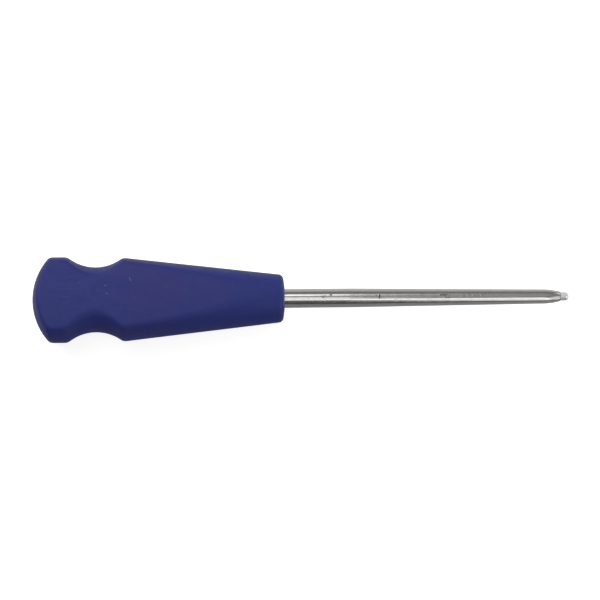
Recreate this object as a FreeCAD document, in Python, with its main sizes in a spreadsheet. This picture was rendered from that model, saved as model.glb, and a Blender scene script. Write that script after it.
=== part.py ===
"""Palm-grip hexagonal screwdriver: a waisted soft silicone handle moulded over a rigid core, and a slim tapered steel shaft with a short domed hexagonal tip.

Every sub-part is modelled in the tool's own frame: X runs along the tool's axis from the crown of the handle (0) to the end of the tip, and the axis is at Y = Z = 0.
Each sub-part's Placement then carries it to the row frame, where the tool lies on one flat of the handle: Z = 0 is the surface it lies on, and the origin is under the middle of its length.
"""

import FreeCAD, Part
import math
import os

import Sketcher

V = FreeCAD.Vector
doc = FreeCAD.newDocument("palm_grip_driver")

# ---------------------------------------------------------------- driving dimensions, in millimetres and degrees
CELLS = [
    # whole tool
    ("overall_length", 245.0),
    # silicone grip, outside
    ("grip_length", 115.8),
    ("grip_thickness", 25.0),
    ("dome_radius", 28.5),
    ("bulb_dia", 39.3),
    ("waist_pos", 28.9),
    ("waist_dia", 29.85),
    ("waist_arc", 20.0),
    ("cone_pos", 43.7),
    ("cone_dia", 37.9),
    ("cone_angle", 6.52),
    ("front_face_set", 1.4),
    ("crown_round", 3.3),
    ("bulb_round", 4.5),
    ("shoulder_round", 4.1),
    ("mouth_round", 2.5),
    # rigid core under the silicone
    ("skin", 3.2),
    ("core_rear", 5.5),
    ("core_front", 110.0),
    ("core_thickness", 18.0),
    ("ring_width", 2.0),
    ("ring_depth", 1.1),
    ("ring_one", 61.0),
    ("ring_two", 83.0),
    ("ring_three", 102.0),
    ("window_dia", 5.0),
    ("window_rear", 12.0),
    ("window_front", 46.0),
    ("window_offset", 11.0),
    # torque bush
    ("bush_flats", 11.0),
    ("bush_rear", 56.0),
    ("bush_front", 108.0),
    ("bush_chamfer", 0.5),
    ("fit_gap", 0.02),
    # shaft
    ("shaft_dia", 8.7),
    ("taper_start", 145.0),
    ("nose_start", 233.9),
    ("nose_dia", 6.6),
    ("nose_end", 241.1),
    ("nose_end_dia", 4.4),
    ("nose_arc", 30.0),
    ("nose_round", 0.25),
    ("tang_dia", 7.0),
    ("tang_rear", 50.6),
    ("tang_chamfer", 0.5),
    # tip
    ("tip_flats", 3.5),
    ("tip_round", 1.9),
    ("tip_flat_end", 0.15),
    ("shank_dia", 2.6),
    ("shank_depth", 7.0),
    # cross pins
    ("pin_dia", 3.0),
    ("pin_rear", 72.0),
    ("pin_front", 94.0),
    ("pin_chamfer", 0.3),
    # seal ring
    ("seal_section", 1.76),
    ("seal_seat_dia", 12.5),
    # screw, washer and plug behind the tang
    ("chamber_dia", 12.0),
    ("web_rear", 50.0),
    ("screw_dia", 4.0),
    ("screw_length", 12.0),
    ("screw_head_dia", 7.0),
    ("screw_head_height", 4.0),
    ("screw_socket", 3.0),
    ("screw_socket_depth", 2.2),
    ("washer_dia", 11.4),
    ("washer_hole", 4.3),
    ("washer_thickness", 1.0),
    ("plug_head_dia", 15.0),
    ("plug_head_height", 1.8),
    ("plug_length", 12.5),
    ("plug_groove", 0.7),
]
sheet = doc.addObject("Spreadsheet::Sheet", "Dims")
for row, (alias, value) in enumerate(CELLS, start=1):
    sheet.set(f"A{row}", alias)
    sheet.set(f"B{row}", str(value))
    sheet.setAlias(f"B{row}", alias)
doc.recompute()
D = {alias: float(sheet.get(alias)) for alias, _ in CELLS}


# ---------------------------------------------------------------- helpers
def new_body(label):
    body = doc.addObject("PartDesign::Body", label)
    body.Label = label
    return body


def plane(body, role):
    return next(f for f in body.Origin.OriginFeatures if f.Role == role)


def new_sketch(body, name, role, offset=None, offset_expr=None):
    sk = body.newObject("Sketcher::SketchObject", name)
    sk.AttachmentSupport = [(plane(body, role), "")]
    sk.MapMode = "FlatFace"
    if offset is not None:
        sk.AttachmentOffset = FreeCAD.Placement(V(0, 0, offset), FreeCAD.Rotation())
        sk.setExpression("AttachmentOffset.Base.z", offset_expr)
    doc.recompute()
    return sk


def at(sk, geo, pos, x_expr=None, y_expr=None):
    """Fixes one point of a sketch by the sheet: an expression may start with a minus sign for a point on the negative side."""
    p = sk.getPoint(geo, pos)
    for kind, expr, value in (("DistanceX", x_expr, p.x), ("DistanceY", y_expr, p.y)):
        if expr is None:
            continue
        negative = expr.startswith("-")
        plain = expr[1:] if negative else expr
        if plain == "0":
            sk.addConstraint(Sketcher.Constraint("PointOnObject", geo, pos, -2 if kind == "DistanceX" else -1))
            continue
        ends = (geo, pos, -1, 1) if negative else (-1, 1, geo, pos)
        n = sk.addConstraint(Sketcher.Constraint(kind, *ends, abs(value)))
        sk.setExpression(f"Constraints[{n}]", plain)


def radius(sk, geo, expr):
    n = sk.addConstraint(Sketcher.Constraint("Radius", geo, sk.Geometry[geo].Radius))
    sk.setExpression(f"Constraints[{n}]", expr)


def chain(sk, points, exprs, close=True):
    """A closed run of straight lines, each corner placed by the sheet."""
    n0 = sk.GeometryCount
    count = len(points)
    for i in range(count if close else count - 1):
        a, b = points[i], points[(i + 1) % count]
        sk.addGeometry(Part.LineSegment(V(*a, 0), V(*b, 0)), False)
    for i in range(count if close else count - 1):
        if close or i < count - 2:
            sk.addConstraint(Sketcher.Constraint("Coincident", n0 + i, 2, n0 + (i + 1) % count, 1))
    for i, (ex, ey) in enumerate(exprs):
        at(sk, n0 + i, 1, ex, ey)
    return n0


def circle(sk, x, y, r, ex, ey, er):
    n = sk.addGeometry(Part.Circle(V(x, y, 0), V(0, 0, 1), r), False)
    at(sk, n, 3, ex, ey)
    radius(sk, n, er)
    return n


def hexagon(sk, flats, expr):
    """A regular hexagon about the sketch's origin, with two flats across the sketch's vertical axis."""
    rc = flats / math.sqrt(3)
    pts = [(rc * math.cos(math.radians(60 * i)), rc * math.sin(math.radians(60 * i))) for i in range(6)]
    half, full, apothem = f"{expr} / sqrt(3) / 2", f"{expr} / sqrt(3)", f"{expr} / 2"
    exprs = [(full, "0"), (half, apothem), ("-" + half, apothem), ("-" + full, "0"), ("-" + half, "-" + apothem), (half, "-" + apothem)]
    return chain(sk, pts, exprs)


def revolve(body, name, sk, kind="PartDesign::Revolution"):
    f = body.newObject(kind, name)
    f.Profile = sk
    f.ReferenceAxis = (sk, ["H_Axis"])
    f.Angle = 360
    sk.Visibility = False
    doc.recompute()
    return f


def pad(body, name, sk, length_expr, reverse=False, kind="PartDesign::Pad", both=False):
    f = body.newObject(kind, name)
    f.Profile = sk
    f.Length = 1.0
    f.setExpression("Length", length_expr)
    f.Reversed = reverse
    if both:
        f.SideType = "Symmetric"
    sk.Visibility = False
    doc.recompute()
    return f


def cut_through(body, name, sk, length_expr, reverse=False, both=False):
    before = body.Shape.Volume
    f = pad(body, name, sk, length_expr, reverse, "PartDesign::Pocket", both)
    assert body.Shape.Volume < before - 1e-3, f"{name} cuts nothing"
    return f


def edges_where(feature, test):
    return [f"Edge{i}" for i, e in enumerate(feature.Shape.Edges, start=1) if test(e)]


def ring_at(x, r, tol=0.02):
    """Picks the circular edge about the axis at station x with radius r."""

    def test(e):
        if e.Degenerated:
            return False
        c = e.Curve
        return isinstance(c, Part.Circle) and abs(c.Center.x - x) < tol and abs(c.Radius - r) < tol and math.hypot(c.Center.y, c.Center.z) < tol

    return test


def dress(body, name, kind, edges, size_expr):
    base = body.Tip
    f = body.newObject(kind, name)
    f.Base = (base, edges)
    prop = "Radius" if kind.endswith("Fillet") else "Size"
    f.setExpression(prop, size_expr)
    doc.recompute()
    return f


def ok(obj):
    return not ({"Invalid", "Error"} & set(obj.State)) and not obj.Shape.isNull() and obj.Shape.isValid()


# ---------------------------------------------------------------- derived stations, for the sketches' first positions
TAN = math.tan(math.radians(D["cone_angle"]))


def cone_r(x):
    return D["cone_dia"] / 2 - (x - D["cone_pos"]) * TAN


def cone_expr(x_expr, less="0"):
    return f"Dims.cone_dia / 2 - ({x_expr} - Dims.cone_pos) * tan(Dims.cone_angle * 1deg) - {less}"


def waist_meets(level, offset):
    """Where the waist's arc, grown by offset, meets the bulb's radius on its rear side."""
    rc, big = D["waist_dia"] / 2 + D["waist_arc"], D["waist_arc"] + offset
    return D["waist_pos"] - math.sqrt(big**2 - (rc - level) ** 2)


def waist_meets_cone(offset):
    rc, big = D["waist_dia"] / 2 + D["waist_arc"], D["waist_arc"] + offset
    x = D["waist_pos"] + 10
    for _ in range(60):
        r = cone_r(x) - offset / math.cos(math.radians(D["cone_angle"]))
        x = D["waist_pos"] + math.sqrt(max(big**2 - (rc - r) ** 2, 0.0))
    return x, r


def handle_profile(body, name, offset, rear=None, front=None):
    """The handle's half section, offset inwards: crown, bulb, waist, cone and front face. With rear and front it stops at flat faces there."""
    off = "0" if offset == 0 else "Dims.skin"
    sk = new_sketch(body, name, "XY_Plane")
    rd, rb = D["dome_radius"] - offset, D["bulb_dia"] / 2 - offset
    x1 = D["dome_radius"] - math.sqrt(rd**2 - rb**2)
    x2 = waist_meets(rb, offset)
    x3, r3 = waist_meets_cone(offset)
    rc = D["waist_dia"] / 2 + D["waist_arc"]
    lean = offset / math.cos(math.radians(D["cone_angle"]))
    cos_expr = "cos(Dims.cone_angle * 1deg)"
    x4 = D["grip_length"] - D["front_face_set"] if front is None else front
    r4 = cone_r(x4) - lean
    start = (0.0, 0.0) if rear is None else (rear, math.sqrt(rd**2 - (D["dome_radius"] - rear) ** 2))
    a1 = math.atan2(rb, x1 - D["dome_radius"])
    a0 = math.atan2(start[1], start[0] - D["dome_radius"])
    dome = sk.addGeometry(Part.ArcOfCircle(Part.Circle(V(D["dome_radius"], 0, 0), V(0, 0, 1), rd), a1, a0 if a0 > a1 else math.pi), False)
    bulb = sk.addGeometry(Part.LineSegment(V(x1, rb, 0), V(x2, rb, 0)), False)
    w0, w1 = math.atan2(rb - rc, x2 - D["waist_pos"]), math.atan2(r3 - rc, x3 - D["waist_pos"])
    waist = sk.addGeometry(Part.ArcOfCircle(Part.Circle(V(D["waist_pos"], rc, 0), V(0, 0, 1), D["waist_arc"] + offset), w0, w1), False)
    cone = sk.addGeometry(Part.LineSegment(V(x3, r3, 0), V(x4, r4, 0)), False)
    x5 = D["grip_length"] if front is None else front
    face = sk.addGeometry(Part.LineSegment(V(x4, r4, 0), V(x5, 0, 0)), False)
    back_x = 0.0 if rear is None else rear
    axis = sk.addGeometry(Part.LineSegment(V(x5, 0, 0), V(back_x, 0, 0)), False)
    for a, pa, b, pb in ((dome, 1, bulb, 1), (bulb, 2, waist, 1), (waist, 2, cone, 1), (cone, 2, face, 1), (face, 2, axis, 1)):
        sk.addConstraint(Sketcher.Constraint("Coincident", a, pa, b, pb))
    at(sk, dome, 3, "Dims.dome_radius", "0")
    radius(sk, dome, f"Dims.dome_radius - {off}")
    sk.addConstraint(Sketcher.Constraint("Horizontal", bulb))
    at(sk, bulb, 1, None, f"Dims.bulb_dia / 2 - {off}")
    at(sk, waist, 3, "Dims.waist_pos", "Dims.waist_dia / 2 + Dims.waist_arc")
    radius(sk, waist, f"Dims.waist_arc + {off}")
    if front is None:
        at(sk, cone, 2, "Dims.grip_length - Dims.front_face_set", cone_expr("Dims.grip_length + (-Dims.front_face_set)"))
        at(sk, face, 2, "Dims.grip_length", "0")
    else:
        at(sk, cone, 2, "Dims.core_front", cone_expr("Dims.core_front", f"Dims.skin / {cos_expr}"))
        at(sk, face, 2, "Dims.core_front", "0")
    # the cone's slope, as an angle between the line and the horizontal axis
    turn = sk.addGeometry(Part.LineSegment(V(x3 + 5, 0, 0), V(x4, 0, 0)), True)
    sk.addConstraint(Sketcher.Constraint("Horizontal", turn))
    at(sk, turn, 1, "Dims.cone_pos", "0")
    at(sk, turn, 2, "Dims.grip_length", None)
    n = sk.addConstraint(Sketcher.Constraint("Angle", cone, turn, math.radians(D["cone_angle"])))
    sk.setExpression(f"Constraints[{n}]", "Dims.cone_angle * 1deg")
    if rear is None:
        sk.addConstraint(Sketcher.Constraint("Coincident", dome, 2, axis, 2))
        at(sk, axis, 2, None, "0")
    else:
        wall = sk.addGeometry(Part.LineSegment(V(back_x, 0, 0), V(*start, 0)), False)
        sk.addConstraint(Sketcher.Constraint("Coincident", axis, 2, wall, 1))
        sk.addConstraint(Sketcher.Constraint("Coincident", wall, 2, dome, 2))
        at(sk, axis, 2, "Dims.core_rear", "0")
        sk.addConstraint(Sketcher.Constraint("Vertical", wall))
    doc.recompute()
    stations = {"x1": x1, "x2": x2, "x3": x3, "x4": x4, "rb": rb, "r3": r3, "r4": r4}
    return sk, stations


def flats(body, name, thickness_expr, thickness):
    """Mills the two flats, above and below, along the whole handle."""
    sk = new_sketch(body, name + "_sketch", "YZ_Plane")
    h, w, far = thickness / 2, 30.0, 30.0
    half = f"{thickness_expr} / 2"
    for sign, pre in ((1, ""), (-1, "-")):
        pts = [(-w, sign * h), (w, sign * h), (w, sign * far), (-w, sign * far)]
        ex = [("-30", pre + half), ("30", pre + half), ("30", pre + "30"), ("-30", pre + "30")]
        chain(sk, pts, ex)
    doc.recompute()
    return cut_through(body, name, sk, "Dims.overall_length", reverse=True)


def core_form(label, bored):
    """The rigid core: the handle's shape less the silicone skin, with locking rings and windows; bored, it also has the bush's seat, the web, the chamber and the pin holes."""
    body = new_body(label)
    sk, st = handle_profile(body, label + "_profile", D["skin"], rear=D["core_rear"], front=D["core_front"])
    revolve(body, label + "_turned", sk)
    flats(body, label + "_flats", "Dims.core_thickness", D["core_thickness"])
    # locking rings round the cone
    sk = new_sketch(body, label + "_rings_sketch", "XY_Plane")
    lean = "Dims.skin / cos(Dims.cone_angle * 1deg)"
    for ring in ("ring_one", "ring_two", "ring_three"):
        x, w, far = D[ring], D["ring_width"] / 2, 20.0
        r = cone_r(x) - D["skin"] / math.cos(math.radians(D["cone_angle"])) - D["ring_depth"]
        er = cone_expr(f"Dims.{ring}", f"{lean} - Dims.ring_depth")
        lo, hi = f"Dims.{ring} + (-Dims.ring_width / 2)", f"Dims.{ring} + Dims.ring_width / 2"
        chain(sk, [(x - w, r), (x + w, r), (x + w, far), (x - w, far)], [(lo, er), (hi, er), (hi, "20"), (lo, "20")])
    doc.recompute()
    before = body.Shape.Volume
    revolve(body, label + "_rings", sk, "PartDesign::Groove")
    assert body.Shape.Volume < before, "rings cut nothing"
    # locking windows through both wings of the bulb and of the shoulder
    sk = new_sketch(body, label + "_windows_sketch", "XY_Plane")
    for wx in ("window_rear", "window_front"):
        for sign, pre in ((1, ""), (-1, "-")):
            circle(sk, D[wx], sign * D["window_offset"], D["window_dia"] / 2, f"Dims.{wx}", pre + "Dims.window_offset", "Dims.window_dia / 2")
    doc.recompute()
    cut_through(body, label + "_windows", sk, "Dims.core_thickness * 2", both=True)
    if bored:
        sk = new_sketch(body, label + "_bush_seat_sketch", "YZ_Plane", D["bush_rear"], "Dims.bush_rear")
        hexagon(sk, D["bush_flats"] + 2 * D["fit_gap"], "(Dims.bush_flats + 2 * Dims.fit_gap)")
        doc.recompute()
        cut_through(body, label + "_bush_seat", sk, "Dims.core_front - Dims.bush_rear + 5", reverse=True)
        sk = new_sketch(body, label + "_seal_seat_sketch", "YZ_Plane", D["bush_front"], "Dims.bush_front")
        circle(sk, 0, 0, D["seal_seat_dia"] / 2, "0", "0", "Dims.seal_seat_dia / 2")
        doc.recompute()
        cut_through(body, label + "_seal_seat", sk, "Dims.core_front - Dims.bush_front + 5", reverse=True)
        sk = new_sketch(body, label + "_tang_hole_sketch", "YZ_Plane", D["bush_rear"] + 2, "Dims.bush_rear + 2")
        circle(sk, 0, 0, D["tang_dia"] / 2 + D["fit_gap"], "0", "0", "Dims.tang_dia / 2 + Dims.fit_gap")
        doc.recompute()
        cut_through(body, label + "_tang_hole", sk, "Dims.bush_rear - Dims.web_rear + 4")
        sk = new_sketch(body, label + "_chamber_sketch", "YZ_Plane", D["web_rear"], "Dims.web_rear")
        circle(sk, 0, 0, D["chamber_dia"] / 2, "0", "0", "Dims.chamber_dia / 2")
        doc.recompute()
        cut_through(body, label + "_chamber", sk, "Dims.web_rear")
        sk = new_sketch(body, label + "_plug_seat_sketch", "YZ_Plane", D["core_rear"] + D["plug_head_height"], "Dims.core_rear + Dims.plug_head_height")
        circle(sk, 0, 0, D["plug_head_dia"] / 2 + D["fit_gap"], "0", "0", "Dims.plug_head_dia / 2 + Dims.fit_gap")
        doc.recompute()
        cut_through(body, label + "_plug_seat", sk, "Dims.core_rear + Dims.plug_head_height")
        pin_holes(body, label, 0.0, "Dims.core_thickness * 2")
    return body


def pin_holes(body, label, gap, length_expr):
    sk = new_sketch(body, label + "_pin_holes_sketch", "XY_Plane")
    for px in ("pin_rear", "pin_front"):
        circle(sk, D[px], 0, D["pin_dia"] / 2, f"Dims.{px}", "0", "Dims.pin_dia / 2")
    doc.recompute()
    return cut_through(body, label + "_pin_holes", sk, length_expr, both=True)


# ---------------------------------------------------------------- grip sleeve: the outside form less everything it is moulded round
grip_form = new_body("grip_form")
sk, st = handle_profile(grip_form, "grip_profile", 0.0)
revolve(grip_form, "grip_turned", sk)
dress(grip_form, "crown_fillet", "PartDesign::Fillet", edges_where(grip_form.Tip, ring_at(st["x1"], st["rb"])), "Dims.crown_round")
dress(grip_form, "bulb_fillet", "PartDesign::Fillet", edges_where(grip_form.Tip, ring_at(st["x2"], st["rb"])), "Dims.bulb_round")
dress(grip_form, "shoulder_fillet", "PartDesign::Fillet", edges_where(grip_form.Tip, ring_at(st["x3"], st["r3"], 0.1)), "Dims.shoulder_round")
dress(grip_form, "mouth_fillet", "PartDesign::Fillet", edges_where(grip_form.Tip, ring_at(st["x4"], st["r4"], 0.1)), "Dims.mouth_round")
flats(grip_form, "grip_flats", "Dims.grip_thickness", D["grip_thickness"])

core_solid = core_form("core_solid", bored=False)

passage = doc.addObject("Part::Cylinder", "shaft_passage")
passage.setExpression("Radius", "Dims.shaft_dia / 2")
passage.setExpression("Height", "Dims.grip_length - Dims.core_front + 4")
passage.Placement = FreeCAD.Placement(V(D["core_front"] - 1, 0, 0), FreeCAD.Rotation(V(0, 1, 0), 90))

moulded_round = doc.addObject("Part::MultiFuse", "moulded_round")
moulded_round.Shapes = [core_solid, passage]
grip_sleeve = doc.addObject("Part::Cut", "grip_sleeve")
grip_sleeve.Base = grip_form
grip_sleeve.Tool = moulded_round
doc.recompute()

# ---------------------------------------------------------------- rigid core
handle_core = core_form("handle_core", bored=True)

# ---------------------------------------------------------------- torque bush: hexagonal outside, bored for the tang, cross-drilled
bush = new_body("torque_bush")
sk = new_sketch(bush, "bush_hexagon", "YZ_Plane", D["bush_rear"], "Dims.bush_rear")
hexagon(sk, D["bush_flats"], "Dims.bush_flats")
doc.recompute()
pad(bush, "bush_pad", sk, "Dims.bush_front - Dims.bush_rear")
assert abs(bush.Shape.BoundBox.XMax - D["bush_front"]) < 1e-6
sk = new_sketch(bush, "bush_bore_sketch", "YZ_Plane", D["bush_rear"], "Dims.bush_rear")
circle(sk, 0, 0, D["tang_dia"] / 2 + D["fit_gap"], "0", "0", "Dims.tang_dia / 2 + Dims.fit_gap")
doc.recompute()
cut_through(bush, "bush_bore", sk, "Dims.bush_front", reverse=True)
bore_r = D["tang_dia"] / 2 + D["fit_gap"]
dress(bush, "bush_bore_chamfer", "PartDesign::Chamfer", edges_where(bush.Tip, lambda e: ring_at(D["bush_rear"], bore_r)(e) or ring_at(D["bush_front"], bore_r)(e)), "Dims.bush_chamfer")
pin_holes(bush, "bush", 0.0, "Dims.bush_flats * 2")

# ---------------------------------------------------------------- shaft: one turned and ground bar, with its tang inside the handle
shaft = new_body("shaft")
sk = new_sketch(shaft, "shaft_profile", "XY_Plane")
x_t, x_b, x_s, x_n, x_e = D["tang_rear"], D["bush_front"], D["taper_start"], D["nose_start"], D["nose_end"]
r_t, r_s, r_n, r_e, ch = D["tang_dia"] / 2, D["shaft_dia"] / 2, D["nose_dia"] / 2, D["nose_end_dia"] / 2, D["tang_chamfer"]
pts = [(x_t, 0), (x_t, r_t - ch), (x_t + ch, r_t), (x_b, r_t), (x_b, r_s), (x_s, r_s), (x_n, r_n)]
exprs = [
    ("Dims.tang_rear", "0"),
    ("Dims.tang_rear", "Dims.tang_dia / 2 - Dims.tang_chamfer"),
    ("Dims.tang_rear + Dims.tang_chamfer", "Dims.tang_dia / 2"),
    ("Dims.bush_front", "Dims.tang_dia / 2"),
    ("Dims.bush_front", "Dims.shaft_dia / 2"),
    ("Dims.taper_start", "Dims.shaft_dia / 2"),
]
first = chain(sk, pts, exprs, close=False)
last_line = sk.GeometryCount - 1
at(sk, last_line, 2, "Dims.nose_start", "Dims.nose_dia / 2")
# the nose's ogive: an arc from the taper's end to the seat of the tip
chord = V(x_e - x_n, r_e - r_n, 0)
mid = V((x_e + x_n) / 2, (r_e + r_n) / 2, 0)
drop = math.sqrt(D["nose_arc"] ** 2 - (chord.Length / 2) ** 2)
normal = V(chord.y, -chord.x, 0).normalize()
centre = mid + normal * drop
s0, s1 = math.atan2(r_n - centre.y, x_n - centre.x), math.atan2(r_e - centre.y, x_e - centre.x)
arc = sk.addGeometry(Part.ArcOfCircle(Part.Circle(centre, V(0, 0, 1), D["nose_arc"]), s1, s0), False)
end_face = sk.addGeometry(Part.LineSegment(V(x_e, r_e, 0), V(x_e, 0, 0)), False)
axis_line = sk.addGeometry(Part.LineSegment(V(x_e, 0, 0), V(x_t, 0, 0)), False)
sk.addConstraint(Sketcher.Constraint("Coincident", last_line, 2, arc, 2))
sk.addConstraint(Sketcher.Constraint("Coincident", arc, 1, end_face, 1))
sk.addConstraint(Sketcher.Constraint("Coincident", end_face, 2, axis_line, 1))
sk.addConstraint(Sketcher.Constraint("Coincident", axis_line, 2, first, 1))
radius(sk, arc, "Dims.nose_arc")
at(sk, end_face, 1, "Dims.nose_end", "Dims.nose_end_dia / 2")
at(sk, end_face, 2, "Dims.nose_end", "0")
doc.recompute()
revolve(shaft, "shaft_turned", sk)
dress(shaft, "nose_fillet", "PartDesign::Fillet", edges_where(shaft.Tip, ring_at(x_e, r_e)), "Dims.nose_round")
pin_holes(shaft, "shaft", 0.0, "Dims.shaft_dia * 2")
sk = new_sketch(shaft, "screw_hole_sketch", "YZ_Plane", D["tang_rear"], "Dims.tang_rear")
circle(sk, 0, 0, D["screw_dia"] / 2, "0", "0", "Dims.screw_dia / 2")
doc.recompute()
cut_through(shaft, "screw_hole", sk, "Dims.screw_length + 1", reverse=True)
sk = new_sketch(shaft, "tip_hole_sketch", "YZ_Plane", D["nose_end"], "Dims.nose_end")
circle(sk, 0, 0, D["shank_dia"] / 2, "0", "0", "Dims.shank_dia / 2")
doc.recompute()
cut_through(shaft, "tip_hole", sk, "Dims.shank_depth + 0.4")

# ---------------------------------------------------------------- hexagonal tip with a domed end and a round shank
tip = new_body("hex_tip")
sk = new_sketch(tip, "tip_hexagon", "YZ_Plane", D["nose_end"], "Dims.nose_end")
hexagon(sk, D["tip_flats"], "Dims.tip_flats")
doc.recompute()
pad(tip, "tip_pad", sk, "Dims.overall_length - Dims.nose_end")
assert abs(tip.Shape.BoundBox.XMax - D["overall_length"]) < 1e-6
sk = new_sketch(tip, "tip_shank_sketch", "YZ_Plane", D["nose_end"], "Dims.nose_end")
circle(sk, 0, 0, D["shank_dia"] / 2, "0", "0", "Dims.shank_dia / 2")
doc.recompute()
pad(tip, "tip_shank", sk, "Dims.shank_depth", reverse=True)
assert tip.Shape.BoundBox.XMin < D["nose_end"] - D["shank_depth"] + 1e-6
sk = new_sketch(tip, "tip_round_sketch", "XY_Plane")
xe, rr, rf = D["overall_length"], D["tip_round"], D["tip_flat_end"]
arc = sk.addGeometry(Part.ArcOfCircle(Part.Circle(V(xe - rr, rf, 0), V(0, 0, 1), rr), 0.0, math.pi / 2), False)
l1 = sk.addGeometry(Part.LineSegment(V(xe, rf, 0), V(xe, rr + 3, 0)), False)
l2 = sk.addGeometry(Part.LineSegment(V(xe, rr + 3, 0), V(xe - rr, rr + 3, 0)), False)
l3 = sk.addGeometry(Part.LineSegment(V(xe - rr, rr + 3, 0), V(xe - rr, rf + rr, 0)), False)
for a, pa, b, pb in ((arc, 1, l1, 1), (l1, 2, l2, 1), (l2, 2, l3, 1), (l3, 2, arc, 2)):
    sk.addConstraint(Sketcher.Constraint("Coincident", a, pa, b, pb))
at(sk, arc, 3, "Dims.overall_length - Dims.tip_round", "Dims.tip_flat_end")
radius(sk, arc, "Dims.tip_round")
at(sk, l1, 1, None, "Dims.tip_flat_end")
sk.addConstraint(Sketcher.Constraint("Vertical", l1))
at(sk, l2, 1, None, "Dims.tip_round + 3")
at(sk, l3, 1, "Dims.overall_length + (-Dims.tip_round)", "Dims.tip_round + 3")
sk.addConstraint(Sketcher.Constraint("Vertical", l3))
doc.recompute()
before = tip.Shape.Volume
revolve(tip, "tip_rounded", sk, "PartDesign::Groove")
assert tip.Shape.Volume < before, "tip rounding cuts nothing"

# ---------------------------------------------------------------- cross pins: two equal dowels through core, bush and tang
pins = []
for px in ("pin_rear", "pin_front"):
    blank = doc.addObject("Part::Cylinder", px + "_blank")
    blank.setExpression("Radius", "Dims.pin_dia / 2")
    blank.setExpression("Height", "Dims.core_thickness")
    blank.Placement.Base = V(0, 0, -D["core_thickness"] / 2)
    blank.setExpression("Placement.Base.x", f"Dims.{px}")
    blank.setExpression("Placement.Base.z", "-Dims.core_thickness / 2")
    doc.recompute()
    dowel = doc.addObject("Part::Chamfer", px + "_dowel")
    dowel.Base = blank
    dowel.Edges = [(i, D["pin_chamfer"], D["pin_chamfer"]) for i, e in enumerate(blank.Shape.Edges, start=1) if isinstance(e.Curve, Part.Circle)]
    doc.recompute()
    pins.append(dowel)
cross_pins = doc.addObject("Part::Compound", "cross_pins")
cross_pins.Links = pins

# ---------------------------------------------------------------- seal ring round the shaft, in the mouth of the core
seal = doc.addObject("Part::Torus", "seal_ring")
seal.setExpression("Radius1", "(Dims.seal_seat_dia + Dims.shaft_dia) / 4")
seal.setExpression("Radius2", "Dims.seal_section / 2")

# ---------------------------------------------------------------- screw that draws the tang's shoulder on to the bush, with its washer
screw = new_body("tang_screw")
head_x = D["web_rear"] - D["washer_thickness"]
sk = new_sketch(screw, "screw_profile", "XY_Plane")
xh, xt2 = head_x - D["screw_head_height"], head_x + D["screw_length"] + D["washer_thickness"] - D["screw_dia"] / 8
hr, sr = D["screw_head_dia"] / 2, D["screw_dia"] / 2
ex_head, ex_under = "Dims.web_rear - Dims.washer_thickness - Dims.screw_head_height", "Dims.web_rear - Dims.washer_thickness"
ex_tip = "Dims.web_rear + Dims.screw_length - Dims.screw_dia / 8"
chain(
    sk,
    [(xh, 0), (xh, hr - 0.4), (xh + 0.4, hr), (head_x, hr), (head_x, sr), (xt2 - 0.6, sr), (xt2, sr - 0.6), (xt2, 0)],
    [
        (ex_head, "0"),
        (ex_head, "Dims.screw_head_dia / 2 - 0.4"),
        (ex_head + " + 0.4", "Dims.screw_head_dia / 2"),
        (ex_under, "Dims.screw_head_dia / 2"),
        (ex_under, "Dims.screw_dia / 2"),
        (ex_tip + " - 0.6", "Dims.screw_dia / 2"),
        (ex_tip, "Dims.screw_dia / 2 - 0.6"),
        (ex_tip, "0"),
    ],
)
doc.recompute()
revolve(screw, "screw_turned", sk)
sk = new_sketch(screw, "socket_sketch", "YZ_Plane", xh, ex_head)
hexagon(sk, D["screw_socket"], "Dims.screw_socket")
doc.recompute()
cut_through(screw, "screw_socket_cut", sk, "Dims.screw_socket_depth", reverse=True)

washer = new_body("tang_washer")
sk = new_sketch(washer, "washer_sketch", "YZ_Plane", D["web_rear"], "Dims.web_rear")
circle(sk, 0, 0, D["washer_dia"] / 2, "0", "0", "Dims.washer_dia / 2")
circle(sk, 0, 0, D["washer_hole"] / 2, "0", "0", "Dims.washer_hole / 2")
doc.recompute()
pad(washer, "washer_pad", sk, "Dims.washer_thickness", reverse=True)
assert washer.Shape.BoundBox.XMax < D["web_rear"] + 1e-6

# ---------------------------------------------------------------- plug that closes the chamber before the silicone is moulded
plug = new_body("rear_plug")
sk = new_sketch(plug, "plug_profile", "XY_Plane")
x0, hd, hh, pl, cr, gv = D["core_rear"], D["plug_head_dia"] / 2, D["plug_head_height"], D["plug_length"], D["chamber_dia"] / 2 - D["fit_gap"], D["plug_groove"]
body_r = "Dims.chamber_dia / 2 - Dims.fit_gap"
station = lambda d: f"Dims.core_rear + {d}"
xs = [0, 0, hh, hh, 4.0, 4.0, 5.2, 5.2, 8.0, 8.0, 9.2, 9.2, pl - 0.8, pl, pl]
rs = [0, hd, hd, cr, cr, cr - gv, cr - gv, cr, cr, cr - gv, cr - gv, cr, cr, cr - 0.8, 0]
es = ["0", "0", "Dims.plug_head_height", "Dims.plug_head_height", "4", "4", "5.2", "5.2", "8", "8", "9.2", "9.2", "Dims.plug_length - 0.8", "Dims.plug_length", "Dims.plug_length"]
deep = body_r + " - Dims.plug_groove"
er = ["0", "Dims.plug_head_dia / 2", "Dims.plug_head_dia / 2", body_r, body_r, deep, deep, body_r, body_r, deep, deep, body_r, body_r, body_r + " - 0.8", "0"]
chain(sk, [(x0 + x, r) for x, r in zip(xs, rs)], [(station(e), r) for e, r in zip(es, er)])
doc.recompute()
revolve(plug, "plug_turned", sk)
doc.recompute()

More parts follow.
